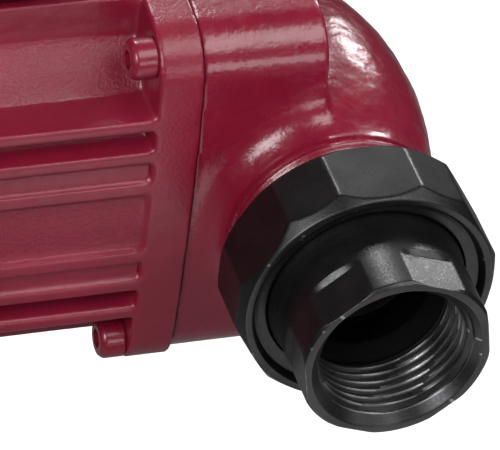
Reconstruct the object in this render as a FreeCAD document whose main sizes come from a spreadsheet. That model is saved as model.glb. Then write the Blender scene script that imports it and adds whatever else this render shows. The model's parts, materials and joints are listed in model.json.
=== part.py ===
"""Wet-rotor in-line circulator pump, built as separate pieces, in millimetres.

Frame: the origin is where the pipe axis (Y) crosses the motor axis (X). +X points away from
the motor, the front union faces -Y, and the terminal box is on top, towards +Z.
"""
import FreeCAD, Part
import Sketcher
import math
import os
from FreeCAD import Placement, Rotation, Vector

SIZES = {
    "overrun": 1.0,             # how far a cutting shape passes the surface it leaves
    # casing
    "port_to_port": 130.0,      # sealing face to sealing face
    "face_offset": 29.5,        # pipe axis to the joint between casing and motor
    "case_front": 2.0,          # pipe axis to the front of the square part of the casing
    "case_inset": 1.0,          # the casing's square is this much smaller than the flange
    "case_edge": 1.2,
    "dome_radius": 26.4,
    "dome_centre": 25.7,        # how far the suction dome's fullest point lies towards the inlet
    "dome_arc": 74.0,           # radius of the dome's gentle curve along the pipe
    "dome_rear": 6.0,
    "dome_end_radius": 21.0,
    "dome_tail": 20.0,          # its rounded end, past dome_rear
    "neck_step": 0.05,          # the neck is turned down behind the thread
    "neck_flare": 7.5,          # radius of the sweep from the casing's side into a neck
    "flare_sink": 0.8,
    "flare_root": 4.0,          # how deep a sweep starts inside the casing's side
    "rear_channel": 18.0,
    "rear_cone": 12.0,
    "spigot_length": 13.0,
    "passage_radius": 12.5,
    "chamber_lip": 0.5,         # the chamber is this much smaller than the motor's bore
    "chamber_depth": 13.5,
    "throat_radius": 8.5,
    "throat_offset": 28.0,
    # joint between casing and motor
    "flange_bulge": 400.0,      # radius of the flange's slightly convex sides
    "flange_corner": 11.3,
    "flange_depth": 9.5,
    "recess_seat": 2.8,         # width of the can flange's seat outside the motor's bore
    "recess_depth": 2.6,
    "joint_gap": 0.3,           # play of the pieces that drop into the casing's recess
    # motor housing
    "motor_length": 78.0,
    "bore_radius": 38.5,
    "barrel_wall": 6.3,
    "fin_depth": 1.2,           # depth of the fins midway along a side
    "end_wall": 10.0,
    "end_chamfer": 6.0,
    "fin_end": 8.0,             # the fins stop this far before the motor's end
    "fin_first": 9.2,
    "fin_pitch": 8.0,
    "fin_width": 3.2,
    "fin_root": 1.5,
    "vent_radius": 12.1,
    "can_seal_width": 3.0,
    "pocket_depth": 2.5,
    "plate_margin": 3.0,
    "plate_border": 5.8,
    "plate_thick": 0.5,
    # flange screws
    "screw_inset": 8.0,         # screw axis to the flange's side
    "screw_radius": 2.1,        # M5 thread, drawn at its minor radius
    "screw_depth": 14.0,
    "screw_head_radius": 4.4,
    "screw_head_height": 5.5,
    "screw_socket": 4.0,
    "screw_play": 0.6,
    "screw_bevel": 0.5,
    "socket_floor": 0.4,        # share of the head's height left under the socket
    # rotor and its bearings
    "can_radius": 17.5,
    "can_wall": 0.5,
    "can_flange": 1.0,
    "can_end_gap": 0.5,
    "seal_gap": 0.2,
    "plate_sheet": 1.4,
    "shaft_radius": 5.0,
    "bearing_play": 0.05,
    "bearing_wall": 4.5,
    "bearing_length": 9.0,
    "bearing_cup": 1.6,
    "thrust_gap": 0.3,
    "thrust_thick": 2.5,
    "rotor_gap": 1.0,
    "rotor_start": 14.0,
    "rotor_tail": 3.0,
    "sleeve_wall": 0.4,
    "rear_bearing_inset": 13.0,
    "shaft_reach": 8.8,
    "shaft_bevel": 0.5,
    "cup_lip": 1.5,             # how far the bearings' cups reach in behind them
    "holder_lip": 3.0,
    "holder_back": 1.5,
    "disc_step": 0.5,
    # impeller
    "impeller_radius": 28.0,
    "impeller_gap": 4.0,        # joint face to the back of the impeller
    "impeller_plate": 2.0,
    "vane_height": 4.5,
    "vane_width": 1.8,
    "vane_curve": 19.0,
    "vane_inner": 14.0,
    "vane_count": 6,
    "shroud_plate": 1.5,
    "eye_radius": 11.8,
    "eye_wall": 1.6,
    "eye_length": 4.0,
    "hub_radius": 8.0,
    "ring_play": 0.3,
    "ring_wall": 2.3,
    "ring_length": 3.1,
    "vane_overlap": 0.5,        # how far the vanes and the hub run into one another
    "vane_tip_gap": 0.6,
    "vane_lead": 3.0,
    "vane_taper": 0.8,
    "vane_tip_step": 1.0,
    "vane_sweep": 0.55,         # how far a vane's tip lies to the side, as a share of its start
    "hub_boss": 1.0,
    "lock_ring": 1.0,
    "lock_step": 0.5,
    "shaft_end": 0.2,
    # stator
    "stator_start": 17.0,
    "stator_tail": 17.0,
    "stator_gap": 0.4,
    "coil_gap": 4.5,
    "coil_length": 8.0,
    "coil_bevel": 2.0,
    # unions
    "gasket_thick": 2.0,
    "gasket_margin": 0.2,
    "collar_overlap": 0.7,
    "collar_play": 0.85,        # collar to the G 1 1/2 thread, drawn at its pitch radius
    "collar_thick": 3.2,
    "tail_radius": 20.5,
    "tail_length": 28.5,
    "tail_bore": 13.5,
    "thread_radius": 15.15,     # Rp 1 thread, drawn at its minor radius
    "thread_depth": 17.0,
    "mouth_chamfer": 3.1,
    "rim_chamfer": 0.8,
    "flat_cut": 1.0,
    "flat_length": 9.4,
    "flat_turn": -20.5,
    "nut_height": 16.7,
    "nut_clear": 0.2,
    "nut_back_rise": 0.6,
    "nut_play": 0.25,
    "nut_lip_gap": 1.0,
    "nut_lip_thick": 4.0,
    "nut_lip_ledge": 1.7,
    "nut_recess": 2.3,
    "nut_recess_slope": 1.9,
    "nut_rim": 1.4,
    "nut_chamfer": 3.1,
    "nut_chamfer_rise": 1.8,
    "nut_back_chamfer": 1.6,
    "nut_wide_step": 0.35,
    "nut_narrow_step": 1.2,
    # vent plug
    "vent_play": 0.3,
    "vent_seal_thick": 1.2,
    "vent_seal_radius": 14.0,
    "vent_head_radius": 15.0,
    "vent_head_height": 4.6,
    "vent_thread": 6.0,
    "vent_slot_width": 3.0,
    "vent_slot_depth": 2.2,
    "vent_bevel": 1.0,
    # terminal box
    "box_setback": 36.0,
    "box_length": 58.0,
    "box_width": 60.0,
    "box_height": 24.0,
    "box_wall": 2.2,
    "box_corner": 6.0,
    "box_seal": 1.0,
    "cover_height": 9.0,
    "pedestal_length": 46.0,
    "pedestal_width": 30.0,
    "pedestal_height": 6.0,
    "pedestal_sink": 4.3,
    "box_margin": 11.0,
    "wire_hole": 6.0,
    "post_radius": 3.4,
    "post_inset": 6.0,
    "cover_screw_radius": 1.5,
    "cover_screw_head": 3.0,
    "cover_screw_depth": 9.0,
    "box_screw_spacing": 36.0,
    "knob_radius": 11.0,
    "knob_height": 3.0,
    "knob_grip": 6.0,
    "knob_grip_width": 5.0,
    "knob_gap": 0.4,
    "stem_radius": 3.0,
    "stem_play": 0.3,
    "switch_side": 20.0,
    "switch_height": 11.0,
    "gland_radius": 7.5,
    "gland_thread": 6.0,
    "gland_hex": 9.5,
    "gland_hex_length": 5.0,
    "gland_sleeve": 7.0,
    "gland_nut_length": 10.0,
    "gland_nut_radius": 9.2,
    "gland_bore": 4.0,
    "gland_bush_radius": 5.6,
    "gland_bush_seat": 2.0,
    "gland_bore_play": 0.6,
    "gland_mouth_play": 0.8,
    "gland_thread_play": 0.2,
    "gland_nut_gap": 0.3,
    "gland_nut_slope": 3.0,
    "gland_nut_bevel": 2.4,
    "locknut_thick": 3.0,
    "capacitor_length": 30.0,
    "capacitor_width": 11.0,
    "capacitor_height": 14.0,
    "capacitor_corner": 2.0,
    "block_length": 22.0,
    "block_width": 9.0,
    "block_height": 7.0,
    "way_pitch": 7.0,
    "way_radius": 1.8,
    "way_floor": 2.5,
    "way_screw_radius": 1.6,
    "way_screw_length": 3.9,
    "earth_end": 7.0,
    "earth_side": 5.0,
    "earth_head": 3.0,
    "small_head_height": 2.4,
    "small_socket": 2.5,
    "hole_play": 0.2,
    "head_play": 0.3,
    "head_sink": 3.0,
    "post_root": 1.0,
    "stem_engage": 4.0,         # how far the knob's stem reaches into the switch
    "knob_bevel": 1.0,
    "knob_bar_end": 2.0,
    "knob_bar_sink": 0.5,
    "switch_gap": 1.0,
    "lead_pitch": 3.0,
    "lead_radius": 1.1,
    "lead_start": 5.0,
    "lead_end": 3.0,
}

doc = FreeCAD.newDocument("circulator")
size = doc.addObject("Spreadsheet::Sheet", "size")
for row, (alias, value) in enumerate(SIZES.items(), start=1):
    size.set("A%d" % row, alias)
    size.set("B%d" % row, str(value))
    size.setAlias("B%d" % row, alias)
doc.recompute()

nodes = []
CENTRE = ("0", "0", "0")
DIRECTIONS = {
    "+X": Vector(1, 0, 0), "-X": Vector(-1, 0, 0), "+Y": Vector(0, 1, 0),
    "-Y": Vector(0, -1, 0), "+Z": Vector(0, 0, 1), "-Z": Vector(0, 0, -1),
}


# ---- drawing functions -------------------------------------------------------------------

def number(expression):
    """Work out an expression of the size sheet."""
    return float(size.evalExpression(expression))


def place(item, axis="+Z", at=CENTRE, spin=0.0):
    """Stand an object's own Z axis along axis, with its base bound to expressions."""
    turn = Rotation(Vector(0, 0, 1), DIRECTIONS[axis]) * Rotation(Vector(0, 0, 1), spin)
    item.Placement = Placement(Vector(*[number(part) for part in at]), turn)
    for letter, part in zip("xyz", at):
        item.setExpression("Placement.Base." + letter, part)
    return item


def named(item, label):
    """Make an object one of the pump's pieces."""
    item.Label = label
    nodes.append(item)
    return item


def new_body(name, axis="+Z", at=CENTRE):
    return place(doc.addObject("PartDesign::Body", name), axis, at)


def sketch_on(body, role="XY_Plane", offset="0"):
    """Add a sketch on one of the body's own origin planes, moved along its normal."""
    sketch = body.newObject("Sketcher::SketchObject", body.Name + "_sketch")
    plane = [item for item in body.Origin.OriginFeatures if item.Role == role][0]
    sketch.AttachmentSupport = [(plane, "")]
    sketch.MapMode = "FlatFace"
    sketch.setExpression("AttachmentOffset.Base.z", offset)
    return sketch


def pin(sketch, geometry, point, coordinates):
    """Tie a point of the sketch to two expressions."""
    for kind, axis, expression in zip(("DistanceX", "DistanceY"), (-2, -1), coordinates):
        if expression == "0":
            sketch.addConstraint(Sketcher.Constraint("PointOnObject", geometry, point, axis))
            continue
        rule = Sketcher.Constraint(kind, -1, 1, geometry, point, number(expression))
        index = sketch.addConstraint(rule)
        sketch.setExpression("Constraints[%d]" % index, expression)


def draw(sketch, outline):
    """Draw a closed outline of (u, v) points. (u, v, radius) starts an arc that bulges to
    the right of the way it is drawn, or to the left where the radius has a minus sign."""
    first = sketch.GeometryCount
    corners = [Vector(number(p[0]), number(p[1]), 0) for p in outline]
    ends = []
    for index, entry in enumerate(outline):
        start, end = corners[index], corners[(index + 1) % len(corners)]
        if len(entry) == 2:
            sketch.addGeometry(Part.LineSegment(start, end))
        else:
            middle, across = (start + end) / 2, end - start
            radius = number(entry[2])
            rise = radius - math.copysign(math.sqrt(radius ** 2 - across.Length ** 2 / 4), radius)
            side = Vector(across.y, -across.x, 0).normalize()
            sketch.addGeometry(Part.Arc(start, middle + side * rise, end))
        clockwise = len(entry) == 3 and entry[2].startswith("-")
        ends.append((2, 1) if clockwise else (1, 2))
    for index, entry in enumerate(outline):
        after = (index + 1) % len(outline)
        rule = Sketcher.Constraint("Coincident", first + index, ends[index][1],
                                   first + after, ends[after][0])
        sketch.addConstraint(rule)
        pin(sketch, first + index, ends[index][0], entry[:2])
        if len(entry) == 3:
            radius = entry[2].lstrip("-")
            rule = Sketcher.Constraint("Radius", first + index, number(radius))
            sketch.setExpression("Constraints[%d]" % sketch.addConstraint(rule), radius)


def draw_circle(sketch, radius, centre=("0", "0")):
    middle = Vector(number(centre[0]), number(centre[1]), 0)
    index = sketch.addGeometry(Part.Circle(middle, Vector(0, 0, 1), number(radius)))
    pin(sketch, index, 3, centre)
    rule = Sketcher.Constraint("Radius", index, number(radius))
    sketch.setExpression("Constraints[%d]" % sketch.addConstraint(rule), radius)


def rectangle(left, right, low, high):
    return [(left, low), (right, low), (right, high), (left, high)]


def draw_cushion(sketch, half, bulge, corner):
    """Draw a square with slightly convex sides and round corners, centred on the origin."""
    side, wide, small = number(half), number(bulge), number(corner)
    inner = wide - side
    middle = (-inner + math.sqrt(2 * (wide - small) ** 2 - inner ** 2)) / 2
    lean = math.atan2(middle, middle + inner)
    first = sketch.GeometryCount
    for quarter in range(4):
        turn = quarter * math.pi / 2
        centre = Vector(-inner * math.cos(turn), -inner * math.sin(turn), 0)
        circle = Part.Circle(centre, Vector(0, 0, 1), wide)
        sketch.addGeometry(Part.ArcOfCircle(circle, turn - lean, turn + lean))
        reach = middle * math.sqrt(2)
        middle_turn = turn + math.pi / 4
        centre = Vector(reach * math.cos(middle_turn), reach * math.sin(middle_turn), 0)
        circle = Part.Circle(centre, Vector(0, 0, 1), small)
        sketch.addGeometry(Part.ArcOfCircle(circle, turn + lean, turn + math.pi / 2 - lean))
    for index in range(8):
        after = (index + 1) % 8
        rule = Sketcher.Constraint("Tangent", first + index, 2, first + after, 1)
        sketch.addConstraint(rule)
        radius = corner if index % 2 else bulge
        rule = Sketcher.Constraint("Radius", first + index, number(radius))
        sketch.setExpression("Constraints[%d]" % sketch.addConstraint(rule), radius)
    distance = "(%s) - (%s)" % (bulge, half)
    for quarter, spot in enumerate((("-(%s)", "0"), ("0", "-(%s)"), ("%s", "0"), ("0", "%s"))):
        spot = [part % distance if "%s" in part else part for part in spot]
        pin(sketch, first + 2 * quarter, 3, spot)


def feature(body, kind, sketch, **values):
    """Add a feature made from a sketch; text values are expressions."""
    item = body.newObject("PartDesign::" + kind, body.Name + "_" + kind.lower())
    item.Profile = sketch
    for name, value in values.items():
        if isinstance(value, str):
            item.setExpression(name, value)
        else:
            setattr(item, name, value)
    return item


def turned(name, outline, axis="+Z", at=CENTRE):
    """Turn an outline of (radius, height) points about the axis."""
    body = new_body(name, axis, at)
    sketch = sketch_on(body, "XZ_Plane")
    draw(sketch, outline)
    feature(body, "Revolution", sketch, ReferenceAxis=(sketch, ["V_Axis"]))
    return body


def ring(name, inner, outer, low, high, axis="+Z", at=CENTRE):
    return turned(name, rectangle(inner, outer, low, high), axis, at)


def cylinder(name, radius, low, high, axis="+Z", at=CENTRE):
    """A plain round bar from low to high along the axis."""
    item = doc.addObject("Part::Cylinder", name)
    item.setExpression("Radius", radius)
    item.setExpression("Height", "(%s) - (%s)" % (high, low))
    letter = "XYZ".index(axis[1])
    moved = list(at)
    moved[letter] = "%s %s (%s)" % (at[letter], axis[0], low)
    return place(item, axis, moved)


def hexagon(name, half, low, high, axis="+Z", at=CENTRE, spin=0.0):
    """A six-sided bar, half being half its width across flats."""
    item = doc.addObject("Part::Prism", name)
    item.Polygon = 6
    item.setExpression("Circumradius", "(%s) / cos(30 deg)" % half)
    item.setExpression("Height", "(%s) - (%s)" % (high, low))
    letter = "XYZ".index(axis[1])
    moved = list(at)
    moved[letter] = "%s %s (%s)" % (at[letter], axis[0], low)
    return place(item, axis, moved, spin)


def block(name, wide, deep, tall, at=CENTRE):
    """A box centred over a point, standing on it."""
    item = doc.addObject("Part::Box", name)
    item.setExpression("Length", wide)
    item.setExpression("Width", deep)
    item.setExpression("Height", tall)
    corner = ["%s - (%s) / 2" % (at[0], wide), "%s - (%s) / 2" % (at[1], deep), at[2]]
    return place(item, at=corner)


def slab(name, wide, deep, tall, corner, at=CENTRE):
    """A box with its four upright edges rounded."""
    body = new_body(name, at=at)
    sketch = sketch_on(body)
    draw(sketch, rectangle("-(%s) / 2" % wide, "(%s) / 2" % wide,
                           "-(%s) / 2" % deep, "(%s) / 2" % deep))
    pad = feature(body, "Pad", sketch, Length=tall)
    doc.recompute()
    fillet = body.newObject("PartDesign::Fillet", name + "_corners")
    fillet.Base = (pad, edges_where(pad, lambda edge: edge.BoundBox.ZLength > 0.01))
    fillet.setExpression("Radius", corner)
    return body


def edges_where(item, test):
    """Names of an object's edges that pass a test."""
    return ["Edge%d" % (index + 1) for index, edge in enumerate(item.Shape.Edges) if test(edge)]


def cut(name, base, tools):
    """Cut every tool from the base, and make sure that each one bites."""
    doc.recompute()
    for tool in tools:
        if base.Shape.common(tool.Shape).Volume < 1e-3:
            raise RuntimeError(tool.Name + " cuts nothing from " + base.Name)
    item = doc.addObject("Part::Cut", name)
    item.Base = base
    item.Tool = tools[0] if len(tools) == 1 else join(name + "_tools", tools)
    return item


def join(name, items):
    item = doc.addObject("Part::MultiFuse", name)
    item.Shapes = items
    return item


def common(name, items):
    item = doc.addObject("Part::MultiCommon", name)
    item.Shapes = items
    return item


def group(name, items):
    """Several separate solids that share one node."""
    item = doc.addObject("Part::Compound", name)
    item.Links = items
    return item


def screw(name, head_radius, head_height, radius, length, socket, axis, at):
    """A socket cap screw: its head stands along the axis and its shank points back."""
    blank = turned(name + "_blank", [
        ("0", "-(%s)" % length), (radius, "-(%s)" % length), (radius, "0"),
        (head_radius, "0"), (head_radius, "%s - size.screw_bevel" % head_height),
        ("%s - size.screw_bevel" % head_radius, head_height), ("0", head_height)], axis, at)
    low = "(%s) * size.socket_floor" % head_height
    high = "%s + size.overrun" % head_height
    key = hexagon(name + "_key", "(%s) / 2" % socket, low, high, axis, at)
    return cut(name, blank, [key])


# ---- places that several pieces share ----------------------------------------------------

MOTOR = ("-size.face_offset", "0", "0")
SEAL_FACE = "(size.port_to_port / 2)"
NECK_START = f"({SEAL_FACE} - size.spigot_length)"

# unions: the tail sets the lip that draws it in, and the lip sets the collar and the thread
LIP = "(size.tail_radius + size.nut_lip_gap)"
COLLAR = f"({LIP} + size.collar_overlap)"
GASKET = f"({COLLAR} - size.gasket_margin)"
SPIGOT = f"({COLLAR} + size.collar_play)"
NECK = f"({SPIGOT} - size.neck_step)"
FLAT = "(size.tail_radius - size.flat_cut)"
LIP_OUTER = f"({LIP} + size.nut_lip_ledge)"
NUT_RECESS = f"({LIP_OUTER} + size.nut_recess_slope)"
NUT_RIM = f"({NUT_RECESS} + size.nut_rim)"
NUT_CORNER = f"({NUT_RIM} + size.nut_chamfer_rise)"
NUT_WIDE = f"({NUT_RIM} + size.nut_wide_step)"
NUT_NARROW = f"({NUT_RIM} + size.nut_narrow_step)"
COLLAR_BACK = f"({SEAL_FACE} + size.gasket_thick)"
LIP_BACK = f"({COLLAR_BACK} + size.collar_thick)"
TAIL_END = f"({COLLAR_BACK} + size.tail_length)"
NUT_FACE = f"({LIP_BACK} + size.nut_lip_thick + size.nut_recess + size.nut_clear)"
NUT_BACK = f"({NUT_FACE} - size.nut_height)"

# motor: the bore for the stator sets the barrel, the fins and the square flange
BARREL = "(size.bore_radius + size.barrel_wall)"
FLANGE = f"({BARREL} + size.fin_depth)"
RECESS = "(size.bore_radius + size.recess_seat)"
GASKET_BORE = "(size.bore_radius + size.joint_gap)"
CHAMBER = "(size.bore_radius - size.chamber_lip)"
END_FACE = "(size.motor_length - size.end_wall)"
POCKET = "(size.can_radius + size.can_seal_width)"
PLATE_INNER = "(size.vent_head_radius + size.plate_margin)"
PLATE_OUTER = f"({BARREL} - size.end_chamfer - size.plate_border)"
COIL_INNER = "(size.can_radius + size.coil_gap)"
COIL_OUTER = "(size.bore_radius - size.coil_gap)"
STATOR_LENGTH = f"({END_FACE} - size.stator_tail - size.stator_start)"
SCREW_SPOTS = [(f"{y}({FLANGE} - size.screw_inset)", f"{z}({FLANGE} - size.screw_inset)")
               for y in ("-", "") for z in ("-", "")]

# rotor, all measured back from the joint face
CAN_FACE = "-size.can_flange"
BEARING = "(size.shaft_radius + size.bearing_wall)"
BEARING_START = CAN_FACE
BEARING_END = "(size.bearing_length - size.can_flange)"
REAR_BEARING = f"({END_FACE} - size.rear_bearing_inset)"
ROTOR = "(size.can_radius - size.can_wall - size.rotor_gap - size.sleeve_wall)"
ROTOR_LENGTH = f"({REAR_BEARING} - size.rotor_tail - size.rotor_start)"
CHAMBER_END = "-size.chamber_depth"
EYE_RING = "size.eye_radius + size.eye_wall + size.ring_play"
EYE_SEAT = EYE_RING + " + size.ring_wall"
IMPELLER_BACK = "-size.impeller_gap"
VANE_BACK = IMPELLER_BACK + " - size.impeller_plate"
VANE_FRONT = VANE_BACK + " - size.vane_height"
SHROUD_FRONT = VANE_FRONT + " - size.shroud_plate"
HUB_FRONT = VANE_FRONT + " + size.vane_overlap"
LOCK_FRONT = HUB_FRONT + " - size.lock_ring"
SHAFT_FRONT = LOCK_FRONT + " - size.shaft_end"

# terminal box, on its pedestal above the barrel
BOX_X = "(-size.face_offset - size.flange_depth - size.box_setback)"
BOX_Z = f"({FLANGE} + size.pedestal_height)"
PEDESTAL_ROOT = f"({BARREL} - size.pedestal_sink)"
BOX_TOP = f"({BOX_Z} + size.box_height)"
COVER_BASE = f"({BOX_TOP} + size.box_seal)"
COVER_TOP = f"({COVER_BASE} + size.cover_height)"
FLOOR = f"({BOX_Z} + size.box_wall)"
POSTS = [(f"{BOX_X} {x} (size.box_length / 2 - size.post_inset)",
          f"{y}(size.box_width / 2 - size.post_inset)") for x in "-+" for y in ("-", "")]
GLAND = (BOX_X, "0", f"{BOX_Z} + size.box_height / 2")
WALL_FACE = "size.box_width / 2"
SWITCH_TOP = f"({COVER_TOP} - size.box_wall - size.switch_gap)"
CAVITY_LENGTH = "size.box_length - 2 * size.box_wall"
CAVITY_WIDTH = "size.box_width - 2 * size.box_wall"
ASIDE = "(size.box_width / 2 - size.box_margin)"
WAYS = ("-", "0 *", "")


# ---- casing ------------------------------------------------------------------------------

def neck_flare(end, axis):
    """The sweep that leads the casing's side into a neck, on the motor side only."""
    side = f"{FLANGE} - size.case_inset - size.flare_sink"
    sweep = turned(end + "_sweep", [
        ("0", side + " - size.flare_root"), (f"{NECK} + size.neck_flare", side + " - size.flare_root"),
        (f"{NECK} + size.neck_flare", side, "-size.neck_flare"),
        (NECK, side + " + size.neck_flare"),
        ("0", side + " + size.neck_flare")], axis)
    half = block(end + "_half", "size.face_offset - size.case_front", "size.port_to_port",
                 "size.port_to_port", ("-(size.face_offset + size.case_front) / 2", "0",
                                       "-size.port_to_port / 2"))
    return common(end + "_flare", [sweep, half])


def volute_casing():
    """Iron casting: a square front for the motor, the suction dome and two threaded necks."""
    body = new_body("casing_shell")
    square = sketch_on(body, "YZ_Plane", "-size.face_offset")
    draw_cushion(square, f"{FLANGE} - size.case_inset", "size.flange_bulge",
                 "size.flange_corner")
    pad = feature(body, "Pad", square, Length="size.face_offset - size.case_front")
    doc.recompute()
    front = -number("size.case_front")
    edge = body.newObject("PartDesign::Fillet", "casing_edge")
    edge.Base = (pad, edges_where(pad, lambda e: abs(e.BoundBox.XMin - front) < 0.01
                                  and e.BoundBox.XLength < 0.01))
    edge.setExpression("Radius", "size.case_edge")

    dome = sketch_on(body, "XY_Plane")
    end_radius = "size.dome_end_radius"
    rear = "size.dome_rear + size.dome_tail"
    draw(dome, [
        ("0", f"-{NECK_START}"),
        (f"size.dome_radius - ({NECK_START} - size.dome_centre)^2 / (2 * size.dome_arc)",
         f"-{NECK_START}", "size.dome_arc"),
        (end_radius, "size.dome_rear", end_radius),
        ("0", rear)])
    feature(body, "Revolution", dome, ReferenceAxis=(dome, ["V_Axis"]))

    necks = sketch_on(body, "XY_Plane")
    draw(necks, [
        ("0", "-size.dome_centre"), (NECK, "-size.dome_centre"),
        (NECK, "-" + NECK_START), (SPIGOT, "-" + NECK_START),
        (SPIGOT, "-" + SEAL_FACE), ("0", "-" + SEAL_FACE)])
    draw(necks, [
        ("0", "size.dome_rear"), ("size.rear_channel", "size.dome_rear"),
        ("size.rear_channel", NECK_START + " - size.rear_cone"),
        (NECK, NECK_START), (SPIGOT, NECK_START), (SPIGOT, SEAL_FACE), ("0", SEAL_FACE)])
    feature(body, "Revolution", necks, ReferenceAxis=(necks, ["V_Axis"]))
    form = join("casing_form", [body, neck_flare("front", "-Y"), neck_flare("rear", "+Y")])

    inlet = cylinder("inlet_passage", "size.passage_radius", "0", SEAL_FACE + " + size.overrun", "-Y")
    elbow = doc.addObject("Part::Sphere", "inlet_elbow")
    elbow.setExpression("Radius", "size.passage_radius")
    outlet = cylinder("outlet_passage", "size.passage_radius",
                      "size.throat_offset - size.throat_radius", SEAL_FACE + " + size.overrun", "+Y")
    eye = cylinder("eye_opening", "size.eye_radius", "0", "size.face_offset", "-X")
    seat = cylinder("ring_seat", EYE_SEAT, CHAMBER_END + " - size.ring_length", "0", "-X", MOTOR)
    throat = cylinder("throat", "size.throat_radius", "0", "size.face_offset", "-X",
                      ("0", "size.throat_offset", "0"))
    chamber = cylinder("chamber", CHAMBER, CHAMBER_END, "size.overrun", "-X", MOTOR)
    recess = cylinder("recess", RECESS, "-size.recess_depth", "size.overrun", "-X", MOTOR)
    tools = [inlet, elbow, outlet, eye, seat, throat, chamber, recess]
    for index, (y, z) in enumerate(SCREW_SPOTS):
        tools.append(cylinder("tapping_%d" % index, "size.screw_radius",
                              "-size.screw_depth - size.overrun", "size.overrun", "-X", (MOTOR[0], y, z)))
    return cut("volute_casing", form, tools)


def wear_ring():
    return ring("wear_ring", EYE_RING, EYE_SEAT, CHAMBER_END + " - size.ring_length",
                CHAMBER_END, "-X", MOTOR)


def casing_gasket():
    return ring("casing_gasket", GASKET_BORE, f"{RECESS} - size.joint_gap",
                "-size.recess_depth", CAN_FACE, "-X", MOTOR)


# ---- motor -------------------------------------------------------------------------------

def motor_housing():
    """Die-cast aluminium housing: square flange, barrel, long fins and a box pedestal."""
    body = new_body("housing_shell", "-X", MOTOR)
    flange = sketch_on(body)
    draw_cushion(flange, FLANGE, "size.flange_bulge", "size.flange_corner")
    draw_circle(flange, "size.bore_radius")
    feature(body, "Pad", flange, Length="size.flange_depth")

    barrel = sketch_on(body, "XZ_Plane")
    draw(barrel, [
        ("size.bore_radius", "0"), (BARREL, "0"),
        (BARREL, "size.motor_length - size.end_chamfer"),
        (f"{BARREL} - size.end_chamfer", "size.motor_length"),
        ("size.vent_radius", "size.motor_length"),
        ("size.vent_radius", END_FACE + " + size.pocket_depth"),
        (POCKET, END_FACE + " + size.pocket_depth"),
        (POCKET, END_FACE), ("size.bore_radius", END_FACE)])
    feature(body, "Revolution", barrel, ReferenceAxis=(barrel, ["V_Axis"]))

    fins = sketch_on(body)
    for step in range(3):
        middle = "(size.fin_first + %d * size.fin_pitch)" % step
        near = middle + " - size.fin_width / 2"
        far = middle + " + size.fin_width / 2"
        root = f"sqrt(({BARREL} - size.fin_root)^2 - (%s)^2)" % far
        top = f"{FLANGE} - %s^2 / (2 * size.flange_bulge)" % middle
        draw(fins, rectangle(root, top, near, far))
        draw(fins, rectangle(root, top, "-(%s)" % far, "-(%s)" % near))
    pad = feature(body, "Pad", fins, Length="size.motor_length - size.fin_end")
    ring_of_fins = body.newObject("PartDesign::PolarPattern", "housing_fins")
    ring_of_fins.Originals = [pad]
    ring_of_fins.Axis = (fins, ["N_Axis"])
    ring_of_fins.Angle = 360
    ring_of_fins.Occurrences = 4
    body.Tip = ring_of_fins

    pedestal = block("pedestal", "size.pedestal_length", "size.pedestal_width",
                     f"{BOX_Z} - {PEDESTAL_ROOT}", (BOX_X, "0", PEDESTAL_ROOT))
    shell = join("housing_casting", [body, pedestal])
    tools = [cylinder("lead_hole", "size.wire_hole", "size.bore_radius - size.lead_start",
                      f"{BOX_Z} + size.overrun",
                      "+Z", (BOX_X, "0", "0"))]
    for index, (y, z) in enumerate(SCREW_SPOTS):
        tools.append(cylinder("clearance_%d" % index, "size.screw_radius + size.screw_play",
                              "-size.overrun", "size.flange_depth + size.overrun", "-X", (MOTOR[0], y, z)))
    for index, sign in enumerate(("-", "+")):
        spot = (f"{BOX_X} %s size.box_screw_spacing / 2" % sign, "0", "0")
        tools.append(cylinder("box_tapping_%d" % index, "size.cover_screw_radius",
                              f"{BOX_Z} - size.cover_screw_depth", f"{BOX_Z} + size.overrun", "+Z", spot))
    return cut("motor_housing", shell, tools)


def housing_screws():
    screws = []
    for index, (y, z) in enumerate(SCREW_SPOTS):
        at = ("-size.face_offset - size.flange_depth", y, z)
        screws.append(screw("housing_screw_%d" % index, "size.screw_head_radius",
                            "size.screw_head_height", "size.screw_radius",
                            "size.flange_depth + size.screw_depth", "size.screw_socket", "-X", at))
    return group("housing_screws", screws)


def rotor_can():
    """Thin stainless can that keeps the water off the windings."""
    bore = "size.can_radius - size.can_wall"
    end = END_FACE + " + size.pocket_depth - size.can_end_gap"
    return turned("rotor_can", [
        (bore, CAN_FACE), (f"{RECESS} - size.joint_gap", CAN_FACE),
        (f"{RECESS} - size.joint_gap", "0"), ("size.can_radius", "0"),
        ("size.can_radius", end), (bore, end)], "-X", MOTOR)


def can_seal():
    return ring("can_seal", "size.can_radius", POCKET,
                END_FACE + " + size.seal_gap",
                END_FACE + " + size.pocket_depth - size.joint_gap", "-X", MOTOR)


def bearing_plate():
    """Pressed plate with a cup that holds the front bearing."""
    face = CAN_FACE + " - size.plate_sheet"
    cup = f"{BEARING} + size.bearing_cup"
    return turned("bearing_plate", [
        (f"{BEARING} - size.cup_lip", face), (f"{GASKET_BORE} - size.joint_gap", face),
        (f"{GASKET_BORE} - size.joint_gap", CAN_FACE), (cup, CAN_FACE), (cup, BEARING_END),
        (BEARING, BEARING_END), (BEARING, BEARING_START),
        (f"{BEARING} - size.cup_lip", BEARING_START)], "-X", MOTOR)


def front_bearing():
    return ring("front_bearing", "size.shaft_radius + size.bearing_play", BEARING,
                BEARING_START, BEARING_END, "-X", MOTOR)


def rear_bearing():
    end = f"{REAR_BEARING} + size.bearing_length"
    return ring("rear_bearing", "size.shaft_radius + size.bearing_play", BEARING,
                REAR_BEARING, end, "-X", MOTOR)


def rear_bearing_holder():
    end = f"{REAR_BEARING} + size.bearing_length"
    back = end + " + size.holder_back"
    outer = "size.can_radius - size.can_wall"
    return turned("rear_bearing_holder", [
        (BEARING, REAR_BEARING), (outer, REAR_BEARING),
        (outer, back), (f"{BEARING} - size.holder_lip", back),
        (f"{BEARING} - size.holder_lip", end), (BEARING, end)], "-X", MOTOR)


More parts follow.
